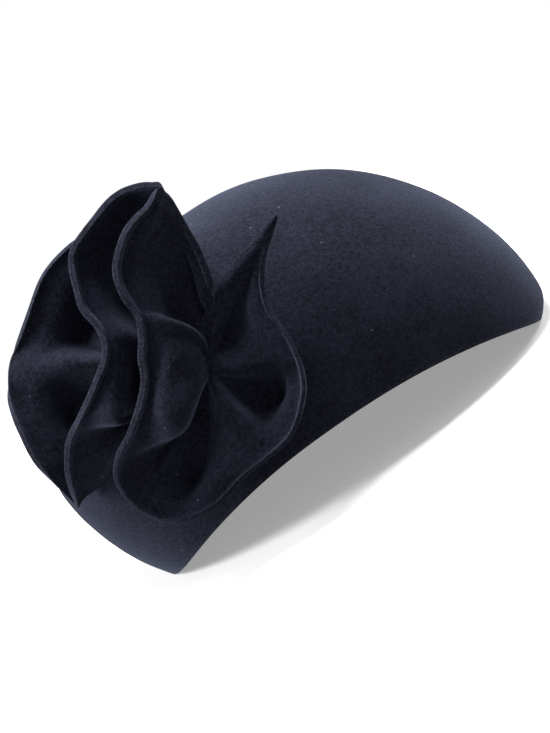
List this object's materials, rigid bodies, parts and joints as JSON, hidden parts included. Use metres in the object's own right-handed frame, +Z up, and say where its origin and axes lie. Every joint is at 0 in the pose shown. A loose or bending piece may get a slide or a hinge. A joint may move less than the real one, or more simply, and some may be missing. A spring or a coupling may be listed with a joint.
{
  "type": "felt cocktail hat with a gathered felt flower",
  "caption": "Domed, elongated felt cap with an arched rim edge and a large ruffled felt flower on one side of its crown.",
  "frame": {"origin": "centre of the hat's bounding box, on the plane that the two ends of its rim edge rest on", "axes": "+X along the crown, away from the end that carries the flower; -Y towards the side with the flower; +Z up through the crown"},
  "size_m": [0.2236, 0.1834, 0.1507],
  "materials": {
    "crown_felt": "matt blocked wool felt, ink navy",
    "flower_felt": "matt wool felt, ink navy, with raw cut edges"
  },
  "bodies": {
    "root": {"crown": "crown_felt", "back_petal": "flower_felt", "middle_ruffle": "flower_felt", "front_ruffle": "flower_felt"}
  },
  "joints": []
}
